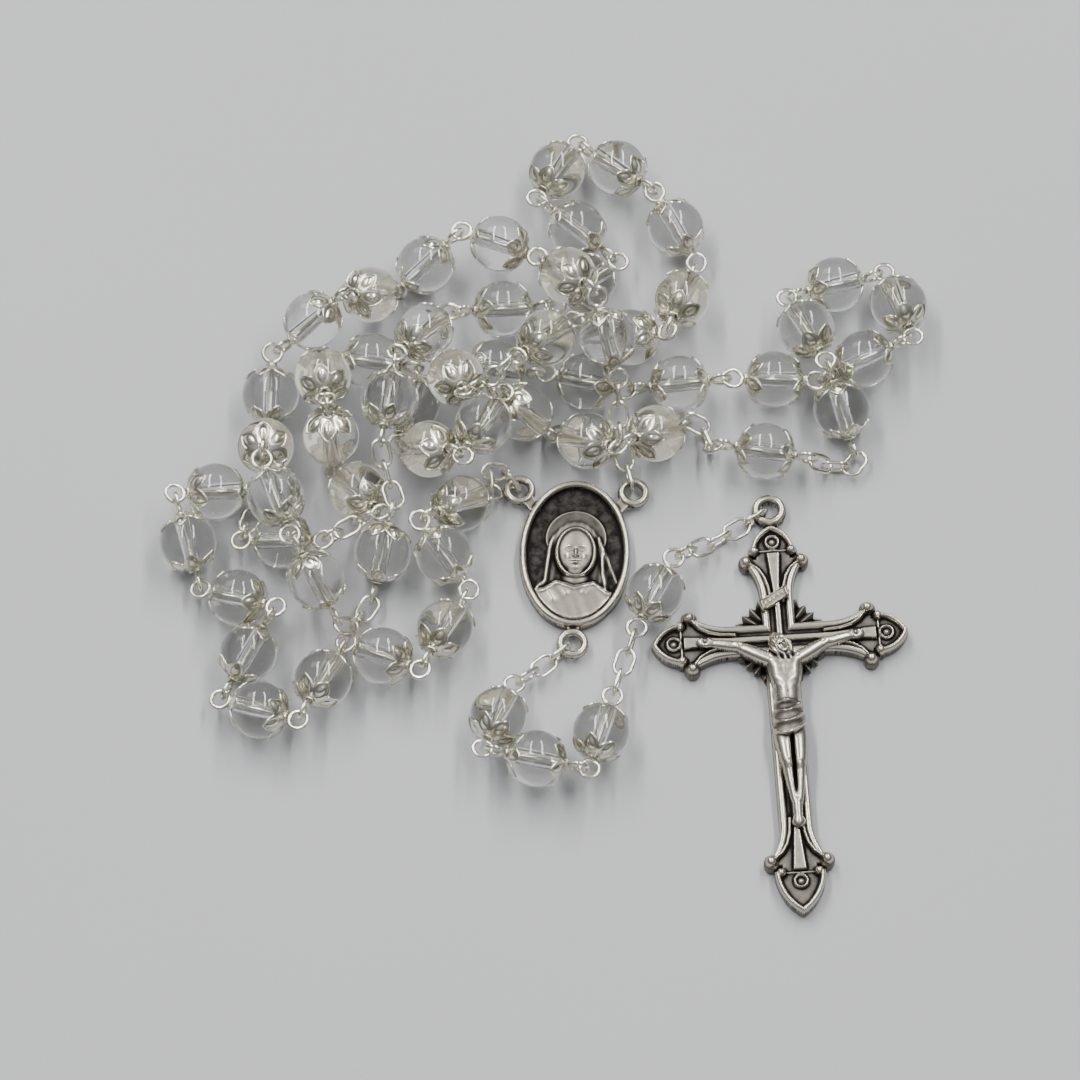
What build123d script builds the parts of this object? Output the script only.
from build123d import *
import math
import os
import numpy as np

# A five-decade rosary of round glass beads, heaped on a table, in millimetres.
# The loop of beads is a chain of rigid pieces: every bead carries a wire eye pin with an
# eye at each end, and the eyes of neighbours are hooked into each other or into oval links.
# Z is up and the table is at Z = 0.

# ---- Driving dimensions ----
BEAD_R = 3.5
BORE_R = 0.7
HOLE_R = 0.42           # hole of a cap, close round the wire
CAP_IN_R = 3.56
CAP_OUT_R = 3.72
PETALS = 6
PETAL_TIP = 2.95
PETAL_DIP = 1.7
PETAL_BASE = 1.0        # the petals are cut from this far along the ball
COLLAR_R = 0.8
COLLAR_END = 3.78
WIRE_R = 0.26
EYE_R = 1.15            # to the middle of the wire
EYE_AT = 5.2            # eye centre from the bead's middle
LINK_WIRE_R = 0.25
LINK_R = 1.08           # end round of a link, to the middle of the wire
LINK_HALF = 0.6         # half the straight side of a link
LINKS_BETWEEN = 3
RIGHT_EAR_LINKS = 5

MEDAL_HALF_W = 6.85
MEDAL_HALF_H = 9.85
MEDAL_THICK = 2.0
MEDAL_RIM = 0.8
MEDAL_EDGE_R = 0.6
MEDAL_FIELD = 1.25      # height of the sunk field
RELIEF_PROUD = 0.35     # how far the face stands over the rim
EAR_X, EAR_Y = 7.0, 8.5
RING_Y = 12.0
EAR_Z = 1.36            # the first link of each ear stands on the table in its flat ring
EAR_R = 1.5             # medal ear, to the middle of its ring
EAR_TUBE_R = 0.46
EAR_FOOT = (1.8, 1.7, 0.74)   # long, wide and thick

BAIL_R = 1.6
BAIL_TUBE_R = 0.5
BAIL_FOOT = (1.2, 1.4, 0.8)
CROSS_UP = 17.4         # bail centre over the crossing
CROSS_TURN = 3.8
CROSS_THICK = 2.2
CROSS_FIELD = 1.6
CROSS_RIM = 0.45
SHAFT_HALF = 2.05
FLARE_HALF = 3.9        # at the volutes
FLARE_LONG = 3.0
NECK_SHORT = 1.6        # from the volutes to the pointed end
VOLUTE_R = 0.85
SIDE_BALL_R = 0.8
VOLUTE_IN = 0.3         # how far these rounds lie inside the flare's and the end's corners
SIDE_BALL_IN = 0.35
TRIM_SUNK = 0.3
TRIM_IN = 0.2
ROUNDEL_R = 0.95
ROUNDEL_BACK = 2.5
ARM_TIP = 15.7
TOP_TIP = 15.2
FOOT_TIP = 36.2
OGIVE_LONG = 4.2
OGIVE_HALF = 2.6
BODY_GAP = 0.06         # the figure lies this far over the cross

HALO_AT = (-0.1, 1.2)
HALO_R = 3.7
HALO_PROUD = 0.3
HEAD_AT = (0.1, 0.4)
HEAD_HALF = (3.1, 4.2)
HEAD_PROUD = 0.6
FACE_BALL_R = 3.6
SHOULDER_AT = (0.0, -8.4)
SHOULDER_HALF = (7.26, 5.8)
SHOULDER_PROUD = 0.45

ARMS = ((0, ARM_TIP), (180, ARM_TIP), (90, TOP_TIP), (-90, FOOT_TIP))
RAYS = ((-26, 4.4), (0, 5.2), (26, 4.4))
RAY_Z = 0.4
RAY_THICK = 1.1
RAY_ROOT_HALF, RAY_HALF = 0.5, 0.62
RAY_POINT = 0.6
RIB = 1.1
RIB_SHORT = 6.2         # the ribs stop this far before the tips
BODY_AT = CROSS_THICK + 0.4   # middle plane of the figure
HEAD_UP = 0.4
HEAD_R = 1.25
FOOTREST_R = 1.0
BELOW = 100             # side of the block that cuts off what is under a casting
# Limbs of the figure: two points, and the radius at each.
LIMBS = [
    ((-9.1, 0.0), (-5.5, -1.2), 0.45, 0.55),
    ((-5.5, -1.2), (-2.0, -2.9), 0.55, 0.8),
    ((9.1, 0.0), (5.5, -1.2), 0.45, 0.55),
    ((5.5, -1.2), (2.0, -2.9), 0.55, 0.8),
    ((0.0, -2.6), (0.0, -8.6), 1.75, 1.35),
    ((0.0, -8.4), (0.0, -13.0), 1.5, 1.75),
    ((-0.1, -13.0), (0.2, -18.2), 1.6, 1.15),
    ((0.2, -18.2), (0.0, -23.4), 1.1, 0.75),
]
HEAD_BOWED = (0.2, -1.2)
FOOTREST = (0.0, -24.3)
SCROLL_AT = (-0.35, 5.1)
SCROLL_TURN = 27
SCROLL_LONG = 3.9
SCROLL_WIDE = 1.6
SCROLL_THICK = 0.5
SCROLL_CORNER = 0.3

SILVER = (0.75, 0.75, 0.73)
OLD_SILVER = (0.6, 0.6, 0.58)
CLEAR = (0.92, 0.93, 0.97)

# ---- Where the beads should lie, in strand order: X, Y and height of the middle ----
DECADES = [
    [(8.7, 23.4, 10.5), (2.2, 33.3, 8), (-4.8, 37.1, 4), (-13.3, 36.2, 4), (-21.5, 30.3, 4),
     (-26.9, 23.9, 6), (-31.5, 18.0, 4), (-33.6, 10.1, 6), (-31.9, 0.9, 9), (-26.9, -9.9, 8)],
    [(-19.0, 13.3, 9), (-13.7, 25.6, 5), (-4.2, 28.4, 7), (8.8, 33.7, 5), (5.3, 41.2, 4),
     (1.8, 48.9, 4), (9.8, 49.2, 4), (17.2, 41.2, 4), (17.5, 31.0, 4), (11.0, 25.6, 4)],
    [(-13.0, 16.4, 9), (-5.5, 23.8, 7), (7.4, 19.2, 4), (18.8, 19.4, 4), (29.4, 19.5, 4),
     (40.7, 23.2, 4), (44.8, 30.2, 4), (36.6, 33.7, 4), (32.9, 25.9, 6), (37.4, 16.1, 4)],
    [(14.1, 13.7, 4), (4.3, 10.3, 4), (-2.2, 17.0, 5), (-7.6, 11.8, 6), (-12.3, 10.0, 4),
     (-17.7, 15.1, 4), (-20.5, 23.2, 4), (-25.3, 19.0, 4), (-25.2, 9.2, 9), (-20.8, 5.8, 6)],
    [(-39.4, 4.5, 4), (-43.1, -2.3, 4), (-35.3, -9.6, 6), (-36.2, -16.2, 4), (-33.0, -25.4, 4),
     (-27.5, -18.2, 4), (-18.4, -18.2, 4), (-10.6, -13.8, 4), (-11.9, -3.4, 4), (-9.6, 4.2, 5)],
]
SINGLES = [(-19.4, -4.6, 4), (1.5, 24.8, 9), (27.9, 10.3, 4), (-31.4, -1.2, 4)]
MEDAL_AT = (4.5, -2.5)
MEDAL_TURN = -1.5
PENDANT = [(-5.3, -25.4, 3.8), (-0.9, -32.8, 3.8), (7.4, -27.6, 3.8)]
PENDANT_SINGLE = (14.2, -8.6, 3.8)
BAIL_XY = (28.3, 3.4)
# Where three of the chains curl, as link centres in strand order.
LINK_PLACES = {
    "after 20": [(3.2, 25.0, 4.5), (4.6, 26.8, 5.6), (5.6, 28.6, 7.0)],
    "after 43": [(-21.6, -0.6, 6.0), (-23.4, -1.2, 7.5), (-25.4, -1.6, 6.5)],
    "left ear": [(-6.6, 10.0, 2.6), (-4.4, 10.3, 2.2), (-2.8, 8.4, 1.6)],
}


def medal_point(x, y):
    """Where a point of the medal's face lies."""
    turn = math.radians(MEDAL_TURN)
    return (MEDAL_AT[0] + x * math.cos(turn) - y * math.sin(turn),
            MEDAL_AT[1] + x * math.sin(turn) + y * math.cos(turn), EAR_Z)


RIGHT_EAR = medal_point(EAR_X, EAR_Y)
LEFT_EAR = medal_point(-EAR_X, EAR_Y)
MEDAL_RING = medal_point(0, -RING_Y)
BAIL = (*BAIL_XY, EAR_Z)


def cross_point(x, y):
    """Where a point of the cross lies, from its crossing."""
    turn = math.radians(CROSS_TURN)
    y -= CROSS_UP
    return (BAIL[0] + x * math.cos(turn) - y * math.sin(turn), BAIL[1] + x * math.sin(turn) + y * math.cos(turn))


# What the beads and links lie beside: two ends and a half width of the medal and of the cross's bars
MEDAL_ROUND = MEDAL_HALF_H - MEDAL_HALF_W
BLOCKS = (
    (medal_point(0, -MEDAL_ROUND)[:2], medal_point(0, MEDAL_ROUND)[:2], MEDAL_HALF_W),
    (cross_point(3 - ARM_TIP, 0), cross_point(ARM_TIP - 3, 0), 3.0),
    (cross_point(0, TOP_TIP - 3), cross_point(0, 3 - FOOT_TIP), 3.0),
)
BLOCK_TOP = 2.5
BALL_REACH = 3.4        # level reach of a resting ball at the height of the blocks' edges
UP = np.array([0.0, 0.0, 1.0])

# ---- Settling the strand ----
FLAT, UPRIGHT = 0, 1
RING_POINTS = 18
ROUNDS = 1500
FREE_ROUNDS = 500       # last rounds, with no pull toward the wanted places
HOOK_MIN, HOOK_MAX = 0.9, 1.45   # how far a hooked eye's centre lies from its neighbour's
GAP = 0.12
WIRE_GAP = 0.09
UNFOLDED = 2.95         # least distance between the two eyes that one link joins


def unit(v):
    return v / np.maximum(np.linalg.norm(v, axis=-1, keepdims=True), 1e-9)


def away_from(block, points, reach, top):
    """Level push that keeps these points clear of one long low block, given as its ends and half width."""
    first, second, half = np.array(block[0]), np.array(block[1]), block[2]
    along = second - first
    share = ((points[:, :2] - first) @ along / (along @ along)).clip(0, 1)
    away = points[:, :2] - first - share[:, None] * along
    far = np.linalg.norm(away, axis=1)
    short = np.where(points[:, 2] < top, np.maximum(half + reach - far, 0), 0)
    return np.append(unit(away) * short[:, None], np.zeros((len(points), 1)), axis=1)


def strand_pieces():
    """The loop's pieces in order, then the pendant's: a bead is its wanted place, a link its name."""
    loop = ["link"] * RIGHT_EAR_LINKS
    for number, decade in enumerate(DECADES):
        loop += decade
        loop += ["link"] * LINKS_BETWEEN
        if number < len(SINGLES):
            loop += [SINGLES[number]]
            loop += ["link"] * LINKS_BETWEEN
    pendant = ["link"] * 3 + list(PENDANT) + ["link"] * 3 + [PENDANT_SINGLE] + ["link"] * 5
    return loop, pendant


def first_guess(chain, start, end, curls):
    """Centres and directions: links are spread evenly between the eyes on either side."""
    beads = [i for i, item in enumerate(chain) if item != "link"]
    centre = np.zeros((len(chain), 3))
    along = np.zeros((len(chain), 3))
    for i in beads:
        centre[i] = chain[i]
    stops = [(-1, np.array(start))] + [(i, centre[i]) for i in beads] + [(len(chain), np.array(end))]
    for k in range(1, len(stops) - 1):
        leaving = curls.get(stops[k][0], [stops[k + 1][1]])[0]
        way = unit(np.array(leaving) - stops[k][1]) + unit(stops[k][1] - stops[k - 1][1])
        along[stops[k][0]] = unit(way)
    for (i, a), (j, b) in zip(stops, stops[1:]):
        if j - i < 2:
            continue
        a = a + along[i] * (EYE_AT + 1) if i >= 0 else a
        b = b - along[j] * (EYE_AT + 1) if j < len(chain) else b
        hint = curls.get(i)
        if hint:
            centre[i + 1:j] = hint
            ends = np.vstack([a, hint, b])
            along[i + 1:j] = unit(ends[2:] - ends[:-2])
            continue
        for step, k in enumerate(range(i + 1, j)):
            share = (step + 0.5) / (j - i - 1)
            centre[k] = a + (b - a) * share
            centre[k, 2] = max(centre[k, 2], 1.4)
            along[k] = unit(b - a)
    return centre, along


class Settled:
    """The strand's pieces, settled: ends[2k] and ends[2k + 1] are the eye centres of piece k."""

    def __init__(self):
        loop, pendant = strand_pieces()
        beads = [i for i, item in enumerate(loop) if item != "link"]
        curls = {beads[20]: LINK_PLACES["after 20"], beads[42]: LINK_PLACES["after 43"],
                 beads[-1]: LINK_PLACES["left ear"]}
        c1, a1 = first_guess(loop, RIGHT_EAR, LEFT_EAR, curls)
        c2, a2 = first_guess(pendant, MEDAL_RING, BAIL, {})
        chain = loop + pendant
        self.loop_count = len(loop)
        self.is_bead = np.array([item != "link" for item in chain])
        self.half = np.where(self.is_bead, EYE_AT, LINK_HALF)
        self.target = np.vstack([c1, c2])
        along = np.vstack([a1, a2])
        count = len(chain)
        self.count = count
        self.ends = np.zeros((2 * count + 4, 3))
        self.ends[0:2 * count:2] = self.target - along * self.half[:, None]
        self.ends[1:2 * count:2] = self.target + along * self.half[:, None]
        self.ends[2 * count:] = [RIGHT_EAR, LEFT_EAR, MEDAL_RING, BAIL]
        self.weight = np.ones(2 * count + 4)
        self.weight[2 * count:] = 0
        self.turn = np.zeros(2 * count + 4, int)
        for k in range(count):
            place = k if k < len(loop) else k - len(loop)
            self.turn[2 * k] = self.turn[2 * k + 1] = UPRIGHT if place % 2 == 0 else FLAT
        last = self.loop_count - 1 - LINKS_BETWEEN
        # The last bead has one eye flat and one upright; the links after it follow on.
        self.turn[2 * last + 1] = 1 - self.turn[2 * last]
        for k in range(last + 1, self.loop_count):
            self.turn[2 * k] = self.turn[2 * k + 1] = 1 - self.turn[2 * k - 1]
        self.radius = np.concatenate([np.repeat(np.where(self.is_bead, EYE_R, LINK_R), 2),
                                      [EAR_R, EAR_R, EAR_R, BAIL_R]])
        self.wire = np.concatenate([np.repeat(np.where(self.is_bead, WIRE_R, LINK_WIRE_R), 2),
                                    [EAR_TUBE_R, EAR_TUBE_R, EAR_TUBE_R, BAIL_TUBE_R]])
        turn = np.arange(RING_POINTS) * 2 * math.pi / RING_POINTS
        self.ring_out = self.radius[:, None] * np.cos(turn)[None]
        self.ring_side = self.radius[:, None] * np.sin(turn)[None]
        # A link is a closed oval: each end has half a round and half of the two straight sides.
        half_turn = np.linspace(-math.pi / 2, math.pi / 2, RING_POINTS - 4)
        straight = [-0.5 * LINK_HALF, -LINK_HALF]
        link_out = np.concatenate([LINK_R * np.cos(half_turn), straight, straight])
        link_side = np.concatenate([LINK_R * np.sin(half_turn), [LINK_R] * 2, [-LINK_R] * 2])
        for k in np.flatnonzero(~self.is_bead):
            self.ring_out[2 * k:2 * k + 2] = link_out
            self.ring_side[2 * k:2 * k + 2] = link_side
        hooks = [(2 * count, 0)]
        hooks += [(2 * k + 1, 2 * k + 2) for k in range(self.loop_count - 1)]
        hooks += [(2 * self.loop_count - 1, 2 * count + 1), (2 * count + 2, 2 * self.loop_count)]
        hooks += [(2 * k + 1, 2 * k + 2) for k in range(self.loop_count, count - 1)]
        hooks += [(2 * count - 1, 2 * count + 3)]
        self.hooks = hooks
        flat, up = [], []
        for a, b in hooks:
            assert self.turn[a] != self.turn[b], (a, b)
            flat.append(a if self.turn[a] == FLAT else b)
            up.append(b if self.turn[a] == FLAT else a)
        self.flat, self.up = np.array(flat), np.array(up)
        # The eyes on either side of one link
        after = dict(hooks)
        self.sides = np.array([(a, after[b ^ 1]) for a, b in hooks if b < 2 * count and not self.is_bead[b // 2]])

    def directions(self):
        """Unit vector from each end outward, away from the piece's middle."""
        out = np.zeros_like(self.ends)
        a, b = self.ends[0:2 * self.count:2], self.ends[1:2 * self.count:2]
        along = unit(b - a)
        out[0:2 * self.count:2] = -along
        out[1:2 * self.count:2] = along
        out[2 * self.count:] = [1, 0, 0]
        return out

    def rings(self):
        """Points along the middle of every eye's wire."""
        out = self.directions()
        side = unit(np.cross(UP, out))
        top = unit(UP - out * (out @ UP)[:, None])
        cross = np.where((self.turn == FLAT)[:, None], side, top)
        return (self.ends[:, None, :] + self.ring_out[:, :, None] * out[:, None, :]
                + self.ring_side[:, :, None] * cross[:, None, :])

    def fix_lengths(self):
        a, b = self.ends[0:2 * self.count:2], self.ends[1:2 * self.count:2]
        middle, along = (a + b) / 2, unit(b - a)
        self.ends[0:2 * self.count:2] = middle - along * self.half[:, None]
        self.ends[1:2 * self.count:2] = middle + along * self.half[:, None]

    def normals(self):
        out = self.directions()
        side = unit(np.cross(UP, out))
        top = unit(UP - out * (out @ UP)[:, None])
        return np.where((self.turn == FLAT)[:, None], top, side)

    def fix_hooks(self):
        """Hooked eyes: each centre lies in the other's plane, about one eye radius away."""
        normal = self.normals()
        for way in ("length", "flat", "up"):
            gap = self.ends[self.up] - self.ends[self.flat]
            if way == "length":
                length = np.linalg.norm(gap, axis=1)
                miss = unit(gap) * (length - np.clip(length, HOOK_MIN, HOOK_MAX))[:, None]
            else:
                plane = normal[self.flat if way == "flat" else self.up]
                miss = plane * (gap * plane).sum(1)[:, None]
            wf, wu = self.weight[self.flat], self.weight[self.up]
            miss = miss * (0.7 / (wf + wu))[:, None]
            move = np.zeros_like(self.ends)
            self.shift(self.flat, miss, move)
            self.shift(self.up, -miss, move)
            self.ends += move

    def shift(self, end, amount, move):
        np.add.at(move, end, amount * self.weight[end][:, None])

    def fix_balls(self):
        """Balls keep clear of each other, of all eyes but their own, of the medal and the table."""
        beads = np.flatnonzero(self.is_bead)
        centre = (self.ends[2 * beads] + self.ends[2 * beads + 1]) / 2
        gap = centre[:, None] - centre[None]
        far = np.linalg.norm(gap, axis=2) + np.eye(len(beads)) * 99
        i, j = np.nonzero(far < 2 * CAP_OUT_R + GAP)
        push = gap[i, j] / far[i, j][:, None] * (2 * CAP_OUT_R + GAP - far[i, j])[:, None] * 0.5
        move = np.zeros_like(self.ends)
        for end in (0, 1):
            self.shift(2 * beads[i] + end, push, move)
        for block in BLOCKS:
            push = away_from(block, centre, BALL_REACH + GAP, BLOCK_TOP + BEAD_R)
            for end in (0, 1):
                self.shift(2 * beads + end, push, move)
        low = np.maximum(CAP_OUT_R - centre[:, 2], 0)
        for end in (0, 1):
            move[2 * beads + end, 2] += low
        rings = self.rings()
        gap = rings[:, :, None, :] - centre[None, None]
        far = np.linalg.norm(gap, axis=3)
        own = (np.arange(len(self.ends)) // 2)[:, None] == beads[None]
        far[np.repeat(own[:, None, :], RING_POINTS, 1)] = 99
        need = CAP_OUT_R + self.wire + GAP
        e, p, b = np.nonzero(far < need[:, None, None])
        if len(e):
            push = gap[e, p, b] / far[e, p, b][:, None] * (need[e] - far[e, p, b])[:, None] * 0.3
            self.shift(e, push, move)
            for end in (0, 1):
                self.shift(2 * beads[b] + end, -push * 0.5, move)
        for block in BLOCKS:
            push = away_from(block, rings.reshape(-1, 3), WIRE_R + GAP, BLOCK_TOP + WIRE_R)
            push = push.reshape(rings.shape).sum(1) * 0.2
            self.shift(np.arange(len(self.ends)), push, move)
        low = np.maximum(self.wire + 0.03 - rings[:, :, 2].min(1), 0)
        move[:, 2] += low * self.weight
        self.ends += move
        return rings

    def fix_rings(self, rings):
        """Eyes keep clear of all eyes, hooked ones included."""
        gap = self.ends[:, None] - self.ends[None]
        near = np.linalg.norm(gap, axis=2) < 3.4
        same = np.arange(len(self.ends)) // 2
        i, j = np.nonzero(near & (same[:, None] < same[None]))
        delta = rings[i][:, :, None, :] - rings[j][:, None, :, :]
        far = np.linalg.norm(delta, axis=3).reshape(len(i), -1)
        best = far.argmin(1)
        least = far[np.arange(len(i)), best]
        need = self.wire[i] + self.wire[j] + WIRE_GAP
        hit = least < need
        i, j, best, least, need = i[hit], j[hit], best[hit], least[hit], need[hit]
        p, q = best // RING_POINTS, best % RING_POINTS
        way = rings[i, p] - rings[j, q]
        way = way / np.maximum(least, 1e-3)[:, None]
        push = way * (need - least)[:, None] * 0.35
        move = np.zeros_like(self.ends)
        self.shift(i, push, move)
        self.shift(j, -push, move)
        self.ends += move

    def fix_folds(self):
        """A chain never folds back on itself: the eyes on either side of a link stay apart."""
        first, second = self.sides.T
        gap = self.ends[first] - self.ends[second]
        short = np.maximum(UNFOLDED - np.linalg.norm(gap, axis=1), 0)
        push = unit(gap) * short[:, None] * 0.3
        move = np.zeros_like(self.ends)
        self.shift(first, push, move)
        self.shift(second, -push, move)
        self.ends += move

    def settle(self):
        beads = np.flatnonzero(self.is_bead)
        for step in range(ROUNDS):
            if step < ROUNDS - FREE_ROUNDS:
                middle = (self.ends[2 * beads] + self.ends[2 * beads + 1]) / 2
                pull = (self.target[beads] - middle) * [0.06, 0.06, 0.01]
                self.ends[2 * beads] += pull
                self.ends[2 * beads + 1] += pull
                self.ends[:, 2] -= 0.015 * self.weight
            rings = self.fix_balls()
            self.fix_rings(rings)
            self.fix_folds()
            for _ in range(4):
                self.fix_hooks()
                self.fix_lengths()
            self.ends = self.ends.round(6)   # the same result on every machine
        return self


# ---- One bead, along X with its middle at the origin ----
def glass_ball():
    end = math.sqrt(BEAD_R ** 2 - BORE_R ** 2)
    with BuildPart() as ball:
        with BuildSketch():
            with BuildLine():
                round_side = ThreePointArc((-end, BORE_R), (0, BEAD_R), (end, BORE_R))
                Line(round_side @ 1, round_side @ 0)
            make_face()
        revolve(axis=Axis.X)
    return ball.part


def flower_cap():
    """Thin cup of pointed petals on the +X end of the ball, with a collar round the hole."""
    outline = []
    for k in range(2 * PETALS):
        reach = PETAL_DIP if k % 2 else PETAL_TIP
        turn = k * math.pi / PETALS
        outline.append((reach * math.cos(turn), reach * math.sin(turn)))
    with BuildPart() as cap:
        with BuildSketch(Plane.YZ.offset(PETAL_BASE)):
            Polygon(*outline, align=None)
        extrude(amount=BEAD_R)
        Sphere(CAP_OUT_R, rotation=(0, 0, 180), mode=Mode.INTERSECT)
        with BuildSketch(Plane.YZ.offset(BEAD_R)):
            Circle(COLLAR_R)
        extrude(amount=COLLAR_END - BEAD_R)
        Sphere(CAP_IN_R, rotation=(0, 0, 180), mode=Mode.SUBTRACT)
        Cylinder(HOLE_R, 3 * BEAD_R, rotation=(0, 90, 0), mode=Mode.SUBTRACT)
    return cap.part


def eye_pin(first_turn, second_turn):
    """Straight wire with a round eye at each end; an upright eye is turned a quarter round X."""
    with BuildPart() as pin:
        Cylinder(WIRE_R, 2 * (EYE_AT - EYE_R), rotation=(0, 90, 0))
        with Locations(Location((-EYE_AT, 0, 0), (90 * first_turn, 0, 0))):
            Torus(EYE_R, WIRE_R)
        with Locations(Location((EYE_AT, 0, 0), (90 * second_turn, 0, 0))):
            Torus(EYE_R, WIRE_R)
    return pin.part


def chain_link(turn):
    """Closed oval link along X."""
    plane = Plane.XY.rotated((90 * turn, 0, 0))
    with BuildPart() as link:
        with BuildLine(plane):
            top = Line((-LINK_HALF, LINK_R), (LINK_HALF, LINK_R))
            right = ThreePointArc(top @ 1, (LINK_HALF + LINK_R, 0), (LINK_HALF, -LINK_R))
            bottom = Line(right @ 1, (-LINK_HALF, -LINK_R))
            ThreePointArc(bottom @ 1, (-LINK_HALF - LINK_R, 0), top @ 0)
        with BuildSketch(Plane(plane.y_dir * LINK_R, z_dir=(1, 0, 0))):
            Circle(LINK_WIRE_R)
        sweep()
    return link.part


def placed(strand, k):
    """Where piece k lies: its X along the piece, its Z square to its flat eyes."""
    first, second = strand.ends[2 * k], strand.ends[2 * k + 1]
    along = unit(second - first)
    top = UP - along * along[2]
    return Plane(Vector(*(first + second) / 2), x_dir=Vector(*along), z_dir=Vector(*top)).location


# ---- Medal ----
def medal_ear(x, y):
    """Round ear with a short foot that runs into the plate."""
    reach = math.hypot(x, y)
    foot = reach - EAR_R - EAR_FOOT[0] / 2
    with Locations((x, y, EAR_Z)):
        Torus(EAR_R, EAR_TUBE_R)
    with Locations(Location((x / reach * foot, y / reach * foot, EAR_Z), (0, 0, math.degrees(math.atan2(y, x))))):
        Box(*EAR_FOOT)


def medal():
    """Oval plate with a sunk field, a round rim, three ears and a veiled head in relief."""
    with BuildPart() as plate:
        with BuildSketch():
            Ellipse(MEDAL_HALF_W, MEDAL_HALF_H)
        extrude(amount=MEDAL_THICK)
        fillet(plate.edges(), MEDAL_EDGE_R)
        medal_ear(EAR_X, EAR_Y)
        medal_ear(-EAR_X, EAR_Y)
        medal_ear(0, -RING_Y)
        inside = (MEDAL_HALF_W - MEDAL_RIM, MEDAL_HALF_H - MEDAL_RIM)
        with BuildSketch(Plane.XY.offset(MEDAL_FIELD)):
            Ellipse(*inside)
        extrude(amount=MEDAL_THICK, mode=Mode.SUBTRACT)
        with BuildSketch(Plane.XY.offset(MEDAL_FIELD)):
            with Locations(HALO_AT):
                Circle(HALO_R)
        extrude(amount=HALO_PROUD)
        with BuildSketch(Plane.XY.offset(MEDAL_FIELD)):
            with Locations(SHOULDER_AT):
                Ellipse(*SHOULDER_HALF)
            Ellipse(*inside, mode=Mode.INTERSECT)
        extrude(amount=SHOULDER_PROUD)
        with BuildSketch(Plane.XY.offset(MEDAL_FIELD)):
            with Locations(HEAD_AT):
                Ellipse(*HEAD_HALF)
        extrude(amount=HEAD_PROUD)
        with Locations((*HEAD_AT, MEDAL_THICK + RELIEF_PROUD - FACE_BALL_R)):
            Sphere(FACE_BALL_R)
        with Locations((0, 0, -BELOW / 2)):
            Box(BELOW, BELOW, BELOW, mode=Mode.SUBTRACT)
    return plate.part


# ---- Crucifix, with the crossing at the origin and its head along +Y ----
def arm(tip, grow):
    """Outline of one arm along +X: shaft, flare, four round lobes and a pointed arch."""
    neck = tip - OGIVE_LONG - NECK_SHORT
    half, long = OGIVE_HALF + grow, OGIVE_LONG + 1.3 * grow
    off = (long ** 2 - half ** 2) / (2 * half)
    start = tip - OGIVE_LONG
    volute, side = FLARE_HALF - VOLUTE_IN, OGIVE_HALF - SIDE_BALL_IN
    middle = (math.pi / 2 + math.atan2(off, long)) / 2
    bow = (start + (half + off) * math.cos(middle), (half + off) * math.sin(middle) - off)
    with BuildSketch() as outline:
        with Locations((start / 2, 0)):
            Rectangle(start + 2 * SHAFT_HALF, 2 * (SHAFT_HALF + grow))
        Polygon((neck - FLARE_LONG, SHAFT_HALF + grow), (neck - FLARE_LONG, -SHAFT_HALF - grow),
                (neck, -FLARE_HALF), (start, -OGIVE_HALF), (start, OGIVE_HALF), (neck, FLARE_HALF), align=None)
        with Locations((neck, volute), (neck, -volute)):
            Circle(VOLUTE_R + grow)
        with Locations((start, side), (start, -side)):
            Circle(SIDE_BALL_R + grow)
        with BuildLine():
            upper = ThreePointArc((start, half), bow, (start + long, 0))
            lower = ThreePointArc(upper @ 1, (bow[0], -bow[1]), (start, -half))
            Line(lower @ 1, upper @ 0)
        make_face()
    return outline.sketch


def cross_outline(grow):
    for angle, tip in ARMS:
        add(arm(tip, grow).rotate(Axis.Z, angle))


def arm_trim(angle, tip):
    """Roundel, volute balls and small balls of one arm's end."""
    neck = tip - OGIVE_LONG - NECK_SHORT
    volute, side = FLARE_HALF - VOLUTE_IN, OGIVE_HALF - SIDE_BALL_IN
    with Locations(Location((0, 0, CROSS_THICK - TRIM_SUNK), (0, 0, angle))):
        with Locations((tip - ROUNDEL_BACK, 0)):
            Sphere(ROUNDEL_R)
        with Locations((neck, volute), (neck, -volute)):
            Sphere(VOLUTE_R - TRIM_IN)
        with Locations((tip - OGIVE_LONG, side), (tip - OGIVE_LONG, -side)):
            Sphere(SIDE_BALL_R - TRIM_IN)


def crucifix_cross():
    with BuildPart() as cross:
        with BuildSketch():
            cross_outline(0)
        extrude(amount=CROSS_THICK)
        with BuildSketch(Plane.XY.offset(CROSS_FIELD)):
            cross_outline(-CROSS_RIM)
        extrude(amount=CROSS_THICK, mode=Mode.SUBTRACT)
        with BuildSketch(Plane.XY.offset(CROSS_FIELD)):
            with Locations((0, (TOP_TIP - FOOT_TIP) / 2)):
                Rectangle(RIB, TOP_TIP + FOOT_TIP - 2 * RIB_SHORT)
            Rectangle(2 * (ARM_TIP - RIB_SHORT), RIB)
        extrude(amount=CROSS_THICK - CROSS_FIELD)
        for angle, tip in ARMS:
            arm_trim(angle, tip)
        # Pointed rays in the corners between the arms
        with BuildSketch(Plane.XY.offset(RAY_Z)):
            for corner in (45, 135, 225, 315):
                for lean, long in RAYS:
                    neck = long - RAY_POINT
                    Polygon((0, RAY_ROOT_HALF), (0, -RAY_ROOT_HALF), (neck, -RAY_HALF), (long, 0), (neck, RAY_HALF),
                            align=None, rotation=corner + lean)
        extrude(amount=RAY_THICK)
        with Locations((0, CROSS_UP, EAR_Z)):
            Torus(BAIL_R, BAIL_TUBE_R)
        with Locations((0, (CROSS_UP - BAIL_R + TOP_TIP) / 2, EAR_Z)):
            Box(*BAIL_FOOT)
    return cross.part


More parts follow.
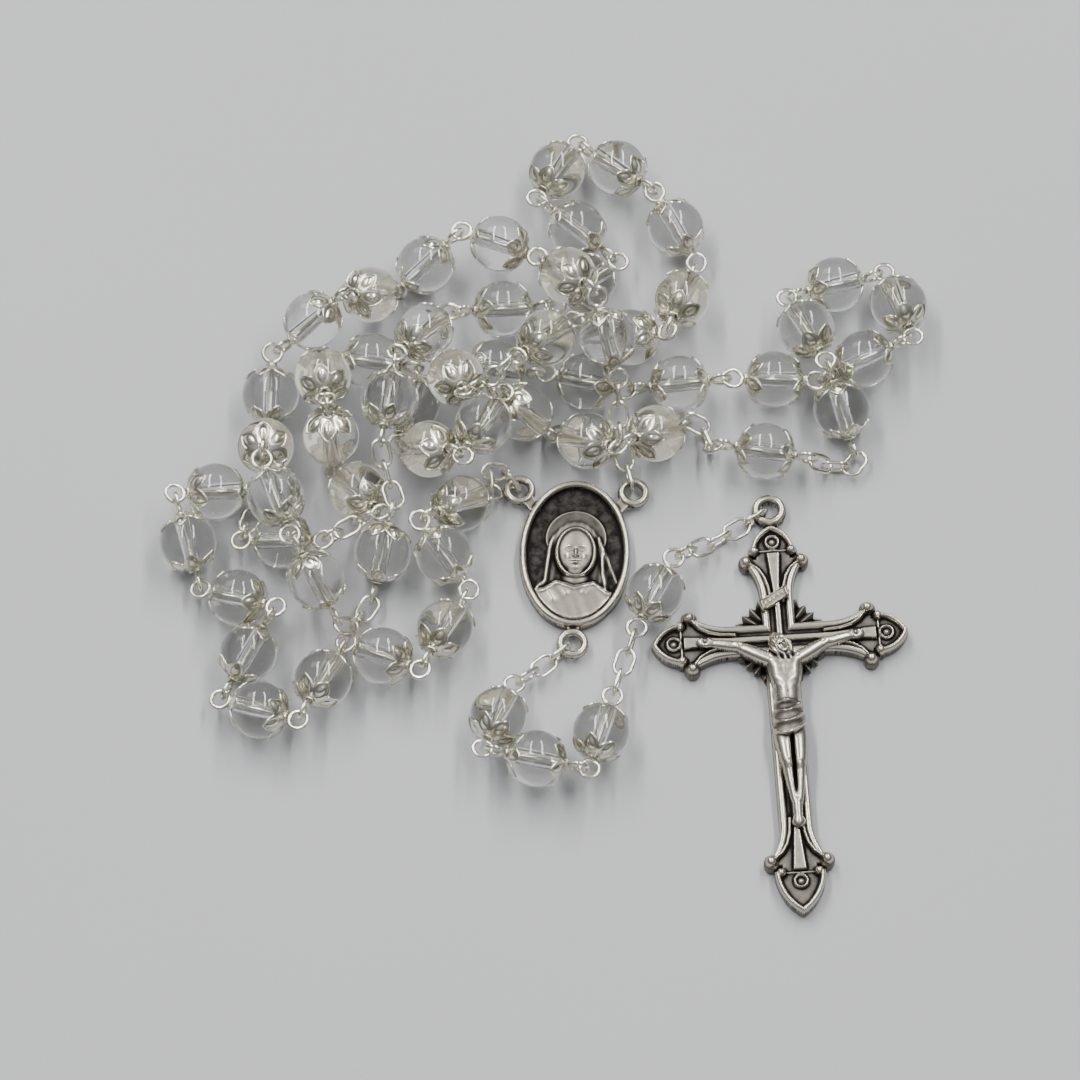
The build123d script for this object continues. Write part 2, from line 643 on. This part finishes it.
def corpus():
    """The figure: arms, head, chest, hips and legs as plain rounded limbs, flat at the back."""
    with BuildPart() as figure:
        for first, second, thick, thin in LIMBS:
            a, b = Vector(*first, BODY_AT), Vector(*second, BODY_AT)
            with BuildSketch(Plane(a, z_dir=b - a)):
                Circle(thick)
            with BuildSketch(Plane(b, z_dir=b - a)):
                Circle(thin)
            loft()
            with Locations(a):
                Sphere(thick)
        with Locations((*HEAD_BOWED, BODY_AT + HEAD_UP)):
            Sphere(HEAD_R)
        with Locations((*FOOTREST, BODY_AT)):
            Sphere(FOOTREST_R)
        with Locations((0, 0, CROSS_THICK + BODY_GAP - BELOW / 2)):
            Box(BELOW, BELOW, BELOW, mode=Mode.SUBTRACT)
    return figure.part


def title_scroll():
    with BuildPart() as scroll:
        with BuildSketch(Plane.XY.offset(CROSS_THICK + BODY_GAP)):
            with Locations(Location((*SCROLL_AT, 0), (0, 0, SCROLL_TURN))):
                RectangleRounded(SCROLL_LONG, SCROLL_WIDE, SCROLL_CORNER)
        extrude(amount=SCROLL_THICK)
    return scroll.part


# ---- Nodes ----
finished = {}


def node(name, shapes, colour):
    """One node that holds these separate solids."""
    with BuildPart() as piece:
        add(shapes)
    piece.part.label = name
    piece.part.color = Color(*colour)
    finished[name] = piece.part


def bead_nodes(prefix, numbers):
    """Glass, caps and eye pins of these beads, in three nodes."""
    places = [placed(strand, k) for k in numbers]
    node(prefix + "_glass", [glass.moved(p) for p in places], CLEAR)
    node(prefix + "_caps", [c.moved(p) for p in places for c in (cap, far_cap)], SILVER)
    turns = [(strand.turn[2 * k], strand.turn[2 * k + 1]) for k in numbers]
    node(prefix + "_eye_pins", [pins[t].moved(p) for t, p in zip(turns, places)], SILVER)


def link_node(name, numbers):
    node(name, [links[strand.turn[2 * k]].moved(placed(strand, k)) for k in numbers], SILVER)


strand = Settled().settle()
glass = glass_ball()
cap = flower_cap()
far_cap = cap.rotate(Axis.Z, 180)
links = {turn: chain_link(turn) for turn in (FLAT, UPRIGHT)}
pins = {(a, b): eye_pin(a, b) for a in (FLAT, UPRIGHT) for b in (FLAT, UPRIGHT)}

loop_end = strand.loop_count
beads = [k for k in range(strand.count) if strand.is_bead[k]]
decades = [beads[11 * d:11 * d + 10] for d in range(5)]
spacers = beads[10:50:11]
lobes = {"top_lobe": decades[1][5:8], "right_lobe": decades[2][4:10], "lower_lobe": decades[4][3:6]}
lobe_beads = sum(lobes.values(), [])
for number, decade in enumerate(decades, 1):
    bead_nodes(f"decade_{number}", [k for k in decade if k not in lobe_beads])
for name, numbers in lobes.items():
    bead_nodes(name, numbers)
bead_nodes("spacer_beads", spacers)
link_node("right_ear_chain", range(1, RIGHT_EAR_LINKS))
link_node("left_ear_chain", range(loop_end - LINKS_BETWEEN, loop_end - 1))
link_node("medal_ear_links", (0, loop_end - 1))
link_node("spacer_chains", [k for k in range(RIGHT_EAR_LINKS, loop_end - LINKS_BETWEEN) if k not in beads])
link_number, bead_number = 0, 0
for k in range(loop_end, strand.count):
    if k in beads:
        bead_number += 1
        bead_nodes(f"pendant_bead_{bead_number}", [k])
    else:
        link_number += 1
        link_node(f"pendant_link_{link_number}", [k])

medal_place = Location((*MEDAL_AT, 0), (0, 0, MEDAL_TURN))
node("centre_medal", [medal().moved(medal_place)], OLD_SILVER)
cross_place = Location((*cross_point(0, 0), 0), (0, 0, CROSS_TURN))
node("crucifix_cross", [crucifix_cross().moved(cross_place)], OLD_SILVER)
node("crucifix_figure", [corpus().moved(cross_place)], SILVER)
node("crucifix_title_scroll", [title_scroll().moved(cross_place)], SILVER)

# The origin is under the middle of the whole rosary, on the table.
everything = Compound(list(finished.values())).bounding_box()
shift = (-(everything.min.X + everything.max.X) / 2, -(everything.min.Y + everything.max.Y) / 2, -everything.min.Z)
os.makedirs("parts", exist_ok=True)
for name, piece in finished.items():
    whole = piece.moved(Location(shift))
    whole.label = name
    export_step(whole, f"parts/{name}.step")
print(len(finished), "nodes, shifted by", shift)
